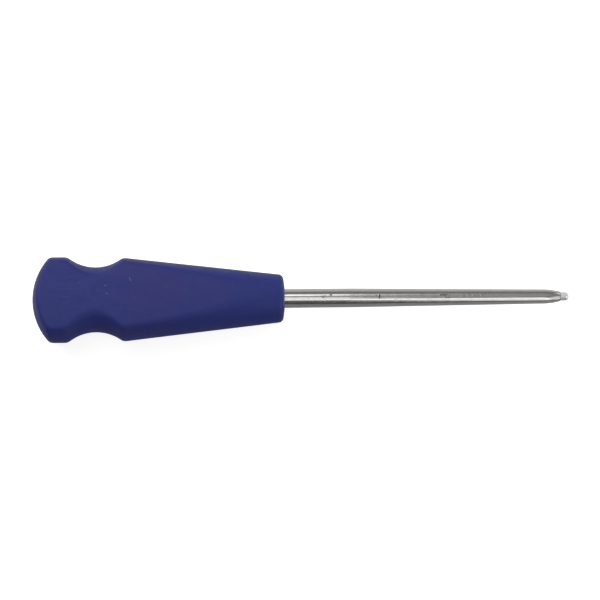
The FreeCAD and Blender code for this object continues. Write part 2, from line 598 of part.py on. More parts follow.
# ---------------------------------------------------------------- placements, checks and files
PARTS = {
    "grip_sleeve": grip_sleeve,
    "handle_core": handle_core,
    "torque_bush": bush,
    "shaft": shaft,
    "hex_tip": tip,
    "cross_pins": cross_pins,
    "seal_ring": seal,
    "tang_screw": screw,
    "tang_washer": washer,
    "rear_plug": plug,
}
for label, obj in PARTS.items():
    obj.Label = label
    obj.Placement = FreeCAD.Placement(V(0, 0, 0), FreeCAD.Rotation())
    obj.setExpression("Placement.Base.x", "-Dims.overall_length / 2")
    obj.setExpression("Placement.Base.z", "Dims.grip_thickness / 2")
seal.Placement = FreeCAD.Placement(V(0, 0, 0), FreeCAD.Rotation(V(0, 1, 0), 90))
seal.setExpression("Placement.Base.x", "(Dims.bush_front + Dims.core_front) / 2 - Dims.overall_length / 2")
seal.setExpression("Placement.Base.z", "Dims.grip_thickness / 2")
doc.recompute()

bad = [o.Label for o in doc.Objects if {"Invalid", "Error"} & set(o.State)]
assert not bad, f"these objects failed: {bad}"
for o in doc.Objects:
    if o.TypeId == "Sketcher::SketchObject":
        assert o.solve() == 0, f"sketch {o.Name} doesn't solve"
for label, obj in PARTS.items():
    s = obj.Shape
    assert not s.isNull() and s.isValid(), f"{label} has no valid shape"
    assert len(s.Solids) >= 1 and all(x.Volume > 0 for x in s.Solids), f"{label} has no solid"

os.makedirs("parts", exist_ok=True)
for label, obj in PARTS.items():
    obj.Shape.exportStep(os.path.join("parts", label + ".step"))
    b = obj.Shape.BoundBox
    print(f"{label:13s} {len(obj.Shape.Solids)} solid(s), {obj.Shape.Volume:10.2f} mm3, X {b.XMin:.2f}..{b.XMax:.2f}  Y {b.YMin:.2f}..{b.YMax:.2f}  Z {b.ZMin:.2f}..{b.ZMax:.2f}")
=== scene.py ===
import math

import bmesh
import bpy
import numpy as np
from mathutils import Matrix, Vector, noise


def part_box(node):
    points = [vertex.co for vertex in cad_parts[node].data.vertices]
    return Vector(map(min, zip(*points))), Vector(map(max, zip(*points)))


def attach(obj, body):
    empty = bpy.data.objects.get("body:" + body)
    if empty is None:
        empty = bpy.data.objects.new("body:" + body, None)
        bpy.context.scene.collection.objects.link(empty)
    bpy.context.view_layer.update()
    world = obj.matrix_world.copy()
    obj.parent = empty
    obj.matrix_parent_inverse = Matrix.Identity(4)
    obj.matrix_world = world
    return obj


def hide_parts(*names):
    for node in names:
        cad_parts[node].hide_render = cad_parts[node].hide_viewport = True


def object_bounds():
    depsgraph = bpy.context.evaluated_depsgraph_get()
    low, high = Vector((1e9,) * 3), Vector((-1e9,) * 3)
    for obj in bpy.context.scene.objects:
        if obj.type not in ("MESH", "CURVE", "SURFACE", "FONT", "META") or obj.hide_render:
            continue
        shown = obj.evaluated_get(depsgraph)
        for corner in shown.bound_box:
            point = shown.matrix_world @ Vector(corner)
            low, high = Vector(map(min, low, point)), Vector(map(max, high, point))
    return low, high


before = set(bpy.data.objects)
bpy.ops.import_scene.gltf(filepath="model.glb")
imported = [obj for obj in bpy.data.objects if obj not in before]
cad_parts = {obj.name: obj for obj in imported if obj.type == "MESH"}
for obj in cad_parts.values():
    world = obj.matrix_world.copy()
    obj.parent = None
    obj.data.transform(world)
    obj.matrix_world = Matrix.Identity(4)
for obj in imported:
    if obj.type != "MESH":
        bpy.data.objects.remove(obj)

MM = 0.001
cad_lo, cad_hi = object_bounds()
g_lo, g_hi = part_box("grip_sleeve")
s_lo, s_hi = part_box("shaft")
t_lo, t_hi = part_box("hex_tip")
c_lo, c_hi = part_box("handle_core")
REAR = g_lo.x / MM                       # the crown's station in the row frame, in mm
AXIS_Z = (s_lo.z + s_hi.z) / 2 / MM      # height of the tool's axis
HALF = (g_hi.z - g_lo.z) / 2 / MM        # half the grip's thickness over its flats
TIP_END = t_hi.x / MM - REAR
NOSE_END = s_hi.x / MM - REAR
TANG_REAR = s_lo.x / MM - REAR


# ------------------------------------------------------------------------------------------------ profile pieces
def arc(cx, cr, radius, a0, a1, step, outward=1):
    return ("arc", (cx, cr), radius, a0, a1, step, outward)


def line(p0, p1, step):
    return ("line", p0, p1, step)


def sample(piece, last=False):
    """Points (x, r) along one piece of a profile, without its end unless it is the last piece."""
    if piece[0] == "line":
        _, p0, p1, step = piece
        n = max(1, math.ceil(math.dist(p0, p1) / step))
        return [(p0[0] + (p1[0] - p0[0]) * i / n, p0[1] + (p1[1] - p0[1]) * i / n) for i in range(n + (1 if last else 0))]
    _, c, radius, a0, a1, step, _ = piece
    n = max(2, math.ceil(abs(a1 - a0) * radius / step))
    return [(c[0] + radius * math.cos(a0 + (a1 - a0) * i / n), c[1] + radius * math.sin(a0 + (a1 - a0) * i / n)) for i in range(n + (1 if last else 0))]


def sample_all(pieces):
    pts = []
    for i, piece in enumerate(pieces):
        pts += sample(piece, i == len(pieces) - 1)
    return pts


def distance_to(pieces, x, r):
    """Unsigned distance from points (x, r) to a run of arcs and lines, exact."""
    best = np.full(x.shape, 1e9)
    for piece in pieces:
        if piece[0] == "line":
            _, (ax, ar), (bx, br), _ = piece
            dx, dr = bx - ax, br - ar
            t = np.clip(((x - ax) * dx + (r - ar) * dr) / max(dx * dx + dr * dr, 1e-12), 0, 1)
            d = np.hypot(x - ax - t * dx, r - ar - t * dr)
        else:
            _, (cx, cr), radius, a0, a1, _, _ = piece
            lo, hi = min(a0, a1), max(a0, a1)
            a = np.arctan2(r - cr, x - cx)
            for turn in (2 * math.pi, -2 * math.pi):
                a = np.where((a < lo - 1e-9) & (a + turn <= hi + 1e-9) & (a + turn >= lo - 1e-9), a + turn, a)
                a = np.where((a > hi + 1e-9) & (a + turn <= hi + 1e-9) & (a + turn >= lo - 1e-9), a + turn, a)
            on = (a >= lo - 1e-9) & (a <= hi + 1e-9)
            ends = np.minimum(
                np.hypot(x - cx - radius * math.cos(a0), r - cr - radius * math.sin(a0)),
                np.hypot(x - cx - radius * math.cos(a1), r - cr - radius * math.sin(a1)),
            )
            d = np.where(on, np.abs(np.hypot(x - cx, r - cr) - radius), ends)
        best = np.minimum(best, d)
    return best


# ------------------------------------------------------------------------------------------------ the grip's outline
DOME_R, BULB_R, WAIST_X, WAIST_R, WAIST_ARC = 28.5, 19.65, 28.9, 14.925, 20.0
CONE_X, CONE_R, CONE_A = 43.7, 18.95, math.radians(6.52)
LENGTH, FACE_SET = 115.8, 1.4
F_CROWN, F_BULB, F_SHOULDER, F_MOUTH, F_LIP = 3.3, 4.5, 4.1, 2.5, 0.45
PASSAGE_R = (s_hi.z - s_lo.z) / 2 / MM + 0.01
FINE, COARSE = 0.36, 0.62


def cone_r(x):
    return CONE_R - (x - CONE_X) * math.tan(CONE_A)


def grip_outline():
    c1 = (DOME_R, 0.0)
    f1 = (DOME_R - math.sqrt((DOME_R - F_CROWN) ** 2 - (BULB_R - F_CROWN) ** 2), BULB_R - F_CROWN)
    a1 = math.atan2(f1[1], f1[0] - DOME_R)
    c2 = (WAIST_X, WAIST_R + WAIST_ARC)
    f2 = (WAIST_X - math.sqrt((WAIST_ARC + F_BULB) ** 2 - (c2[1] - BULB_R + F_BULB) ** 2), BULB_R - F_BULB)
    a2 = math.atan2(c2[1] - f2[1], c2[0] - f2[0])
    # shoulder: the fillet's centre is on the cone's inward offset, WAIST_ARC + F_SHOULDER from the waist's centre
    lo, hi = WAIST_X + 5, WAIST_X + 25
    for _ in range(60):
        mid = (lo + hi) / 2
        r = cone_r(mid) - F_SHOULDER / math.cos(CONE_A)
        if math.hypot(mid - c2[0], r - c2[1]) < WAIST_ARC + F_SHOULDER:
            lo = mid
        else:
            hi = mid
    f3 = (lo, cone_r(lo) - F_SHOULDER / math.cos(CONE_A))
    a3 = math.atan2(c2[1] - f3[1], c2[0] - f3[0])
    n_cone = (math.sin(CONE_A), math.cos(CONE_A))
    x4 = LENGTH - FACE_SET
    r4 = cone_r(x4)
    h = math.hypot(r4, FACE_SET)
    n_face = (r4 / h, FACE_SET / h)
    # mouth: the meeting point of the cone's and the face's inward offsets
    a = np.array([n_cone, n_face])
    b = np.array([n_cone[0] * x4 + n_cone[1] * r4 - F_MOUTH, n_face[0] * x4 + n_face[1] * r4 - F_MOUTH])
    f4 = tuple(np.linalg.solve(a, b))
    # lip round the shaft
    r5 = PASSAGE_R + F_LIP
    x5 = (n_face[0] * x4 + n_face[1] * r4 - F_LIP - n_face[1] * r5) / n_face[0]
    face_a = math.atan2(n_face[1], n_face[0])
    cone_a = math.pi / 2 - CONE_A
    solid = [
        arc(*c1, DOME_R, math.pi, a1, 0.5),
        arc(*f1, F_CROWN, a1, math.pi / 2, FINE),
        line((f1[0], BULB_R), (f2[0], BULB_R), 0.5),
        arc(*f2, F_BULB, math.pi / 2, a2, FINE),
        arc(*c2, WAIST_ARC, math.atan2(f2[1] - c2[1], f2[0] - c2[0]), math.atan2(f3[1] - c2[1], f3[0] - c2[0]), 0.5, -1),
        arc(*f3, F_SHOULDER, a3, cone_a, FINE),
        line((f3[0] + F_SHOULDER * n_cone[0], f3[1] + F_SHOULDER * n_cone[1]), (f4[0] + F_MOUTH * n_cone[0], f4[1] + F_MOUTH * n_cone[1]), COARSE),
        arc(*f4, F_MOUTH, cone_a, face_a, FINE),
        line((f4[0] + F_MOUTH * n_face[0], f4[1] + F_MOUTH * n_face[1]), (x5 + F_LIP * n_face[0], r5 + F_LIP * n_face[1]), 0.6),
    ]
    lip = [arc(x5, r5, F_LIP, face_a, -math.pi / 2, 0.12)]
    return solid, lip, x5


OUTLINE, LIP, LIP_X = grip_outline()
FACE_END = (LENGTH, 0.0)


def inside_test(points):
    xs, rs = np.array([p[0] for p in points]), np.array([p[1] for p in points])

    def test(x, r):
        return r < np.interp(x, xs, rs, left=-1, right=-1)

    return test


def aim_x(x):
    """Where on the axis a grid line of the grip points to: it keeps the grid even where the flats are cut in."""
    return np.interp(x, [0.0, 9.0, 16.0, 28.7, 44.0, 60.0, 120.0], [28.5, 28.9, 30.0, 33.0, 44.5, 60.2, 120.0])


def rounded_cut(d1, d2, f):
    """The rounded intersection of two solids, given the signed distances to both."""
    u, v = np.maximum(d1 + f, 0), np.maximum(d2 + f, 0)
    return np.hypot(u, v) - f + np.minimum(np.maximum(d1 + f, d2 + f), 0)


def pull_in(x, r, theta, target, field):
    """Moves grid points along straight lines towards the axis until they are on the surface where field is zero."""
    lo, hi = np.zeros(x.shape), np.full(x.shape, 0.98)

    def at(k):
        px, pr = x + (target - x) * k, r * (1 - k)
        return px, pr * np.cos(theta), pr * np.sin(theta)

    outside = field(*at(lo)) > 1e-7
    for _ in range(34):
        mid = (lo + hi) / 2
        out = field(*at(mid)) > 0
        lo, hi = np.where(out, mid, lo), np.where(out, hi, mid)
    return at(np.where(outside, (lo + hi) / 2, 0.0))


def build(name, verts, faces, sharp=None):
    me = bpy.data.meshes.new(name)
    me.from_pydata([tuple(v) for v in verts], [], faces)
    me.validate()
    me.update()
    bm = bmesh.new()
    bm.from_mesh(me)
    bmesh.ops.recalc_face_normals(bm, faces=bm.faces)
    bm.to_mesh(me)
    bm.free()
    me.shade_smooth()
    if sharp is not None:
        me.set_sharp_from_angle(angle=math.radians(sharp))
    ob = bpy.data.objects.new(name, me)
    bpy.context.scene.collection.objects.link(ob)
    return ob


def rings(faces, first, second, n):
    for j in range(n):
        k = (j + 1) % n
        faces.append((first + j, first + k, second + k, second + j))


def fan(faces, centre, first, n):
    for j in range(n):
        faces.append((centre, first + (j + 1) % n, first + j))


def revolve(name, pts, n, sharp=30):
    """A turned solid from its half profile; the two ends of the profile are on the axis."""
    verts, faces = [], []
    verts.append((pts[0][0], 0.0, 0.0))
    body = pts[1:-1]
    for x, r in body:
        verts += [(x, r * math.cos(2 * math.pi * j / n), r * math.sin(2 * math.pi * j / n)) for j in range(n)]
    verts.append((pts[-1][0], 0.0, 0.0))
    fan(faces, 0, 1, n)
    for i in range(len(body) - 1):
        rings(faces, 1 + i * n, 1 + (i + 1) * n, n)
    fan(faces, len(verts) - 1, 1 + (len(body) - 1) * n, n)
    verts = [((REAR + x) * MM, y * MM, (AXIS_Z + z) * MM) for x, y, z in verts]
    return build(name, verts, faces, sharp)


# ------------------------------------------------------------------------------------------------ the grip
def make_grip():
    n = 288
    edge = 1.0          # the soft rounding along the flats' edges
    crown_drop = 1.1   # the flats are very slightly crowned: this much lower at their edges
    outer_pts = sample_all(OUTLINE + LIP)
    outer_pts.append((110.0 + 0.0, PASSAGE_R))
    lip_first = len(sample_all(OUTLINE)) - 1
    closed = OUTLINE + [line((sample(OUTLINE[-1], True)[-1]), FACE_END, 1.0)]
    is_in = inside_test([(p[0], p[1]) for p in sample_all(closed)])

    def field(x, y, z):
        r = np.hypot(y, z)
        d = distance_to(closed, x, r)
        d1 = np.where(is_in(x, r), -d, d)
        d2 = np.abs(z) - (HALF - crown_drop * (y / 15.0) ** 2)
        return rounded_cut(d1, d2, edge)

    rows = outer_pts[1:]
    theta = np.array([2 * math.pi * (j + 0.5) / n for j in range(n)])
    px = np.repeat(np.array([p[0] for p in rows])[:, None], n, axis=1)
    pr = np.repeat(np.array([p[1] for p in rows])[:, None], n, axis=1)
    th = np.repeat(theta[None, :], len(rows), axis=0)
    x, y, z = pull_in(px, pr, th, aim_x(px), field)
    # past the lip the passage is round
    x[lip_first:], y[lip_first:], z[lip_first:] = px[lip_first:], (pr * np.cos(th))[lip_first:], (pr * np.sin(th))[lip_first:]

    verts = [(0.0, 0.0, 0.0)]
    for i in range(len(rows)):
        for j in range(n):
            p = Vector((x[i, j], y[i, j], z[i, j]))
            if 0 < i < lip_first - 8:
                # hand-sized unevenness of moulded silicone, always inwards, and none where the grip meets the bench
                wave = 0.5 + 0.32 * noise.noise(p / 17.0 + Vector((3.1, 0.4, 7.7))) + 0.18 * noise.noise(p / 6.5)
                keep = min(1.0, (lip_first - 8 - i) / 20)
                flat = 1.0 if p.z > -HALF + 0.8 else 0.0
                radial = Vector((0.0, p.y, p.z)).normalized()
                if abs(p.z) > HALF - 1.2:
                    radial = Vector((0, 0, 1 if p.z > 0 else -1))
                p -= radial * (0.07 * wave * keep * flat)
            verts.append(tuple(p))
    faces = []
    fan(faces, 0, 1, n)
    for i in range(len(rows) - 1):
        rings(faces, 1 + i * n, 1 + (i + 1) * n, n)

    # the hollow that the core fills, with its own two flats
    m = n // 3
    skin = 3.2
    core_half = (c_hi.z - c_lo.z) / 2 / MM
    x_rear, x_front = c_lo.x / MM - REAR, c_hi.x / MM - REAR
    lean = skin / math.cos(CONE_A)
    rc, big = WAIST_R + WAIST_ARC, WAIST_ARC + skin
    xa = DOME_R - math.sqrt((DOME_R - skin) ** 2 - (BULB_R - skin) ** 2)
    xb = WAIST_X - math.sqrt(big**2 - (rc - BULB_R + skin) ** 2)
    xc = WAIST_X + 10.0
    for _ in range(50):
        xc = WAIST_X + math.sqrt(big**2 - (rc - cone_r(xc) + lean) ** 2)
    ra = math.sqrt((DOME_R - skin) ** 2 - (DOME_R - x_rear) ** 2)
    hollow = [
        line((x_front, PASSAGE_R), (x_front, cone_r(x_front) - lean), 1.5),
        line((x_front, cone_r(x_front) - lean), (xc, cone_r(xc) - lean), 3.0),
        arc(WAIST_X, rc, big, math.atan2(cone_r(xc) - lean - rc, xc - WAIST_X), math.atan2(BULB_R - skin - rc, xb - WAIST_X), 1.6, -1),
        line((xb, BULB_R - skin), (xa, BULB_R - skin), 1.5),
        arc(DOME_R, 0.0, DOME_R - skin, math.atan2(BULB_R - skin, xa - DOME_R), math.atan2(ra, x_rear - DOME_R), 1.5),
        line((x_rear, ra), (x_rear, 0.0), 2.0),
    ]
    inner = sample_all(hollow)[1:-1]
    backwards = [(p[0], p[1]) for p in reversed(sample_all(hollow))]
    is_hollow = inside_test(backwards)

    def hollow_field(x, y, z):
        r = np.hypot(y, z)
        d = distance_to(hollow, x, r)
        return rounded_cut(np.where(is_hollow(x, r), -d, d), np.abs(z) - core_half, 0.3)

    ix = np.repeat(np.array([p[0] for p in inner])[:, None], m, axis=1)
    ir = np.repeat(np.array([p[1] for p in inner])[:, None], m, axis=1)
    ith = np.repeat(np.array([2 * math.pi * (3 * j + 1.5 + 0.5 - 0.5) / n for j in range(m)])[None, :], len(inner), axis=0)
    hx, hy, hz = pull_in(ix, ir, ith, aim_x(ix), hollow_field)
    base = len(verts)
    for i in range(len(inner)):
        verts += [(hx[i, j], hy[i, j], hz[i, j]) for j in range(m)]
    last = 1 + (len(rows) - 1) * n
    for j in range(m):
        k = (j + 1) % m
        a = [last + (3 * j + q) % n for q in range(4)]
        # the fine ring has three points to each one of the coarse ring
        faces.append((a[0], a[1], base + j))
        faces.append((a[1], a[2], base + j))
        faces.append((a[2], a[3], base + k, base + j))
    for i in range(len(inner) - 1):
        rings(faces, base + i * m, base + (i + 1) * m, m)
    verts.append((x_rear, 0.0, 0.0))
    fan(faces, len(verts) - 1, base + (len(inner) - 1) * m, m)
    verts = [((REAR + v[0]) * MM, v[1] * MM, (AXIS_Z + v[2]) * MM) for v in verts]
    return build("silicone_grip", verts, faces)


# ------------------------------------------------------------------------------------------------ the shaft
def make_shaft():
    tang_r, bush_front, shaft_r, taper_x = 3.5, 108.0, (s_hi.z - s_lo.z) / 2 / MM, 145.0
    nose_x, nose_r, end_r, nose_arc = 233.9, 3.3, 2.2, 30.0
    bore_r, bore_depth, seat_r, seat_depth = 2.0, 13.0, 1.3, 7.4
    e = 0.12
    pts = [(TANG_REAR + bore_depth + 0.9, 0.0), (TANG_REAR + bore_depth, bore_r), (TANG_REAR + 0.3, bore_r), (TANG_REAR, bore_r + 0.3)]
    pts += [(TANG_REAR, tang_r - 0.5), (TANG_REAR + 0.5, tang_r)]
    x = TANG_REAR + 2
    while x < bush_front - 0.5:
        pts.append((x, tang_r))
        x += 2.0
    pts += [(bush_front, tang_r), (bush_front, shaft_r - e), (bush_front + e, shaft_r)]
    x = bush_front + 1.0
    while x < taper_x:
        pts.append((x, shaft_r))
        x += 1.0
    count = 112
    for i in range(count):
        k = i / count
        # the taper runs straight from the shaft's radius down to the nose's
        pts.append((taper_x + (nose_x - taper_x) * k, shaft_r + (nose_r - shaft_r) * k))
    cx, cr = (NOSE_END + nose_x) / 2, (nose_r + end_r) / 2
    chord = math.hypot(NOSE_END - nose_x, nose_r - end_r)
    tx, tr = (NOSE_END - nose_x) / chord, (end_r - nose_r) / chord
    drop = math.sqrt(nose_arc**2 - (chord / 2) ** 2)
    ox, orr = cx + tr * drop, cr - tx * drop
    a0, a1 = math.atan2(nose_r - orr, nose_x - ox), math.atan2(end_r - orr, NOSE_END - ox)
    nose = sample(arc(ox, orr, nose_arc, a0, a1, 0.22), True)
    nose = [p for p in nose if p[0] < NOSE_END - 0.28]
    pts += nose
    f = 0.25
    px, pr = nose[-1]
    for i in range(1, 7):
        a = math.radians(90 * i / 6)
        pts.append((NOSE_END - f + f * math.sin(a), end_r - f + 0.03 + f * math.cos(a)))
    pts += [(NOSE_END, seat_r + 0.12), (NOSE_END - 0.12, seat_r), (NOSE_END - seat_depth, seat_r), (NOSE_END - seat_depth - 0.4, 0.0)]
    ob = revolve("steel_shaft", pts, 176)
    # the two cross holes that the pins go through
    p_lo, p_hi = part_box("cross_pins")
    cut = bmesh.new()
    for cxp in (p_lo.x + 0.0015, p_hi.x - 0.0015):
        ret = bmesh.ops.create_cone(cut, cap_ends=True, segments=48, radius1=0.0015, radius2=0.0015, depth=0.012)
        bmesh.ops.translate(cut, verts=ret["verts"], vec=Vector((cxp, 0.0, AXIS_Z * MM)))
    cme = bpy.data.meshes.new("cross_holes")
    cut.to_mesh(cme)
    cut.free()
    cob = bpy.data.objects.new("cross_holes", cme)
    bpy.context.scene.collection.objects.link(cob)
    mod = ob.modifiers.new("holes", "BOOLEAN")
    mod.operation, mod.solver, mod.object = "DIFFERENCE", "EXACT", cob
    bpy.context.view_layer.update()
    done = bpy.data.meshes.new_from_object(ob.evaluated_get(bpy.context.evaluated_depsgraph_get()))
    ob.modifiers.clear()
    old = ob.data
    ob.data = done
    bpy.data.meshes.remove(old)
    bpy.data.objects.remove(cob)
    bpy.data.meshes.remove(cme)
    ob.data.name = "steel_shaft"
    ob.data.shade_smooth()
    ob.data.set_sharp_from_angle(angle=math.radians(30))
    return ob


# ------------------------------------------------------------------------------------------------ the hexagonal tip
def make_tip():
    flats, shank_r, shank = 3.5, 1.3, 7.0
    rr, rf = 1.9, 0.15
    n = 144
    k = (-math.sqrt(3) / 2, 0.5, 1 / math.sqrt(3))

    def hexagon(a, b, apothem):
        a, b = np.abs(a), np.abs(b)
        t = 2 * np.minimum(k[0] * a + k[1] * b, 0)
        a, b = a - t * k[0], b - t * k[1]
        a, b = a - np.clip(a, -k[2] * apothem, k[2] * apothem), b - apothem
        return np.hypot(a, b) * np.sign(b)

    outline = [
        line((NOSE_END, rr + rf), (TIP_END - rr, rr + rf), 0.25),
        arc(TIP_END - rr, rf, rr, math.pi / 2, 0.0, 0.09),
        line((TIP_END, rf), (TIP_END, 0.0), 0.13),
    ]
    is_in = inside_test(sample_all(outline))

    def field(x, y, z):
        r = np.hypot(y, z)
        d = distance_to(outline, x, r)
        soft = 0.06
        return rounded_cut(np.where(is_in(x, r), -d, d), hexagon(y, z, flats / 2 - soft) - soft, 0.05)

    rows = sample_all(outline)[:-1]
    px = np.repeat(np.array([p[0] for p in rows])[:, None], n, axis=1)
    pr = np.repeat(np.array([p[1] for p in rows])[:, None], n, axis=1)
    th = np.repeat(np.array([2 * math.pi * j / n for j in range(n)])[None, :], len(rows), axis=0)
    target = np.minimum(px, TIP_END - rr - 0.3)
    x, y, z = pull_in(px, pr, th, target, field)
    x0 = NOSE_END - shank
    verts = [(x0, 0.0, 0.0)]
    faces = []
    stem = [(x0, shank_r - 0.15), (x0 + 0.15, shank_r)] + [(x0 + 0.15 + i, shank_r) for i in range(1, 7)] + [(NOSE_END - 0.001, shank_r)]
    for sx, sr in stem:
        verts += [(sx, sr * math.cos(t), sr * math.sin(t)) for t in th[0]]
    for i in range(len(rows)):
        verts += [(float(x[i, j]), float(y[i, j]), float(z[i, j])) for j in range(n)]
    verts.append((TIP_END, 0.0, 0.0))
    fan(faces, 0, 1, n)
    total = len(stem) + len(rows)
    for i in range(total - 1):
        rings(faces, 1 + i * n, 1 + (i + 1) * n, n)
    fan(faces, len(verts) - 1, 1 + (total - 1) * n, n)
    verts = [((REAR + v[0]) * MM, v[1] * MM, (AXIS_Z + v[2]) * MM) for v in verts]
    return build("hexagonal_tip", verts, faces, 35)


grip = make_grip()
shaft = make_shaft()
tip = make_tip()
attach(grip, "root")
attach(shaft, "root")
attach(tip, "root")
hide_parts("grip_sleeve")
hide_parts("shaft")
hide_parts("hex_tip")


# ------------------------------------------------------------------------------------------------ materials
class Nodes:
    """A short way to write a material's node tree."""

    def __init__(self, name):
        self.mat = bpy.data.materials.new(name)
        self.mat.use_nodes = True
        self.t = self.mat.node_tree
        self.t.nodes.clear()
        self.out = self.t.nodes.new("ShaderNodeOutputMaterial")
        self.bsdf = self.t.nodes.new("ShaderNodeBsdfPrincipled")
        self.t.links.new(self.bsdf.outputs[0], self.out.inputs[0])
        self.coord = self.t.nodes.new("ShaderNodeTexCoord").outputs["Object"]

    def put(self, socket, value):
        if isinstance(value, bpy.types.NodeSocket):
            self.t.links.new(value, socket)
        else:
            socket.default_value = value

    def node(self, kind, inputs=None, **props):
        nd = self.t.nodes.new(kind)
        for key, v in props.items():
            setattr(nd, key, v)
        for key, v in (inputs or {}).items():
            self.put(nd.inputs[key], v)
        return nd

    def math(self, op, a, b=0.0, c=0.0, clamp=False):
        nd = self.node("ShaderNodeMath", operation=op, use_clamp=clamp)
        for i, v in enumerate((a, b, c)):
            self.put(nd.inputs[i], v)
        return nd.outputs[0]

    def scaled(self, factors, shift=(0.0, 0.0, 0.0)):
        """Object coordinates in millimetres times factors, so that a scale of 1 is one feature a millimetre."""
        nd = self.node("ShaderNodeMapping", {"Vector": self.coord})
        nd.inputs["Scale"].default_value = tuple(1000.0 * f for f in factors)
        nd.inputs["Location"].default_value = shift
        return nd.outputs[0]

    def noise(self, factors, detail=2.0, rough=0.5, shift=(0.0, 0.0, 0.0)):
        nd = self.node("ShaderNodeTexNoise", {"Vector": self.scaled(factors, shift), "Scale": 1.0, "Detail": detail, "Roughness": rough})
        return nd.outputs[0]

    def spread(self, value, lo, hi, out_lo=0.0, out_hi=1.0, smooth=True):
        nd = self.node("ShaderNodeMapRange", {"Value": value, "From Min": lo, "From Max": hi, "To Min": out_lo, "To Max": out_hi})
        nd.interpolation_type = "SMOOTHSTEP" if smooth else "LINEAR"
        nd.clamp = True
        return nd.outputs[0]

    def mix(self, factor, a, b):
        nd = self.node("ShaderNodeMix", data_type="RGBA")
        self.put(nd.inputs[0], factor)
        for i, v in ((6, a), (7, b)):
            if not isinstance(v, bpy.types.NodeSocket):
                v = (*v, 1.0) if len(v) == 3 else v
            self.put(nd.inputs[i], v)
        return nd.outputs[2]

    def bump(self, height, strength, distance, onto=None):
        nd = self.node("ShaderNodeBump", {"Height": height, "Strength": strength, "Distance": distance})
        if onto is not None:
            self.put(nd.inputs["Normal"], onto)
        return nd.outputs[0]

    def shader(self, **sockets):
        for key, v in sockets.items():
            name = key.replace("_", " ")
            if isinstance(v, tuple) and len(v) == 3 and self.bsdf.inputs[name].type == "RGBA":
                v = (*v, 1.0)
            self.put(self.bsdf.inputs[name], v)
        return self.mat

    def xyz(self):
        """Object coordinates in mm: station from the crown, distance across, height over the axis."""
        nd = self.node("ShaderNodeSeparateXYZ", {0: self.coord})
        x = self.math("MULTIPLY_ADD", nd.outputs[0], 1000.0, -REAR)
        y = self.math("MULTIPLY", nd.outputs[1], 1000.0)
        z = self.math("MULTIPLY_ADD", nd.outputs[2], 1000.0, -AXIS_Z)
        return x, y, z


